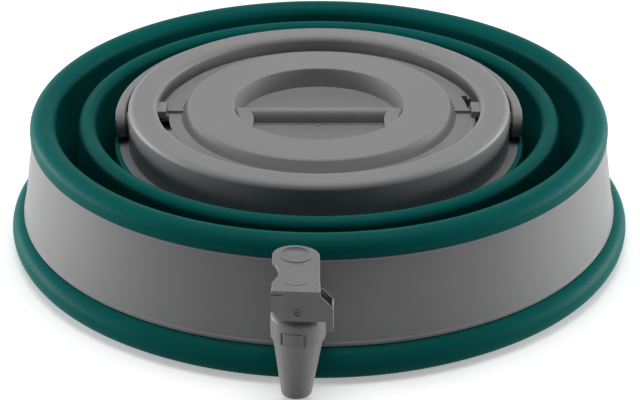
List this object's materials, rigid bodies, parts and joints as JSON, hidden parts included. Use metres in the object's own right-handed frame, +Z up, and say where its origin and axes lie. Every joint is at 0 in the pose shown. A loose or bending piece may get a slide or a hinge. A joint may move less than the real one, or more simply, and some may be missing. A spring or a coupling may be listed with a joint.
{
  "type": "collapsible water carrier",
  "caption": "Round water carrier with a folding rubber wall, bayonet lid, bail handle and a push tap at its foot, pushed flat.",
  "frame": {"origin": "centre of the base's flat underside, on the vessel's axis", "axes": "+Z up, -Y towards the side with the tap, X along the handle's pivots"},
  "size_m": [0.3, 0.3256, 0.067],
  "materials": {
    "grey_plastic": "fine matt moulded polypropylene",
    "tap_plastic": "smooth satin moulded plastic",
    "green_rubber": "smooth satin thermoplastic rubber",
    "black_rubber": "matt rubber",
    "spring_steel": "drawn wire"
  },
  "bodies": {
    "base": {"pan": "grey_plastic", "foot_ring": "green_rubber", "outer_fold": "green_rubber", "outer_fold_wall": "green_rubber", "tap_body": "tap_plastic", "tap_bonnet": "tap_plastic", "tap_lever_pin": "tap_plastic", "tap_stem_ring": "black_rubber", "tap_spring": "spring_steel", "tap_outer_gasket": "black_rubber", "tap_inner_gasket": "black_rubber", "tap_nut": "tap_plastic"},
    "middle": {"middle_fold": "green_rubber", "inner_fold_wall": "green_rubber"},
    "neck": {"neck_fold": "green_rubber", "neck_ring": "grey_plastic"},
    "lid": {"lid": "grey_plastic", "lid_seal": "black_rubber"},
    "handle": {"handle": "grey_plastic"},
    "tap_lever": {"tap_lever": "tap_plastic"},
    "tap_stem": {"tap_stem": "tap_plastic", "tap_valve_seal": "black_rubber"}
  },
  "joints": [
    {"name": "outer_fold_lift", "type": "slide", "parent": "base", "child": "middle", "axis": [0, 0, 1], "range_m": [0, 0.088], "deforming": ["outer_fold_wall"]},
    {"name": "inner_fold_lift", "type": "slide", "parent": "middle", "child": "neck", "axis": [0, 0, 1], "range_m": [0, 0.088], "deforming": ["inner_fold_wall"]},
    {"name": "lid_turn", "type": "hinge", "parent": "neck", "child": "lid", "pos_m": [0, 0, 0.057], "axis": [0, 0, 1], "range_deg": [0, 18]},
    {"name": "handle_swing", "type": "hinge", "parent": "neck", "child": "handle", "pos_m": [0, 0, 0.0555], "axis": [1, 0, 0], "range_deg": [0, 180]},
    {"name": "lever_press", "type": "hinge", "parent": "base", "child": "tap_lever", "pos_m": [-0.00917, -0.16925, 0.054], "axis": [-0.9985, 0.0541, 0], "range_deg": [0, 12], "stiffness_Nm_per_rad": 0.4, "springref_deg": -11.46},
    {"name": "stem_slide", "type": "slide", "parent": "base", "child": "tap_stem", "axis": [0, 0, -1], "range_m": [0, 0.0016], "deforming": ["tap_spring"]}
  ],
  "couplings": [
    {"joint": "stem_slide", "follows": "lever_press", "m_per_rad": 0.0075}
  ]
}
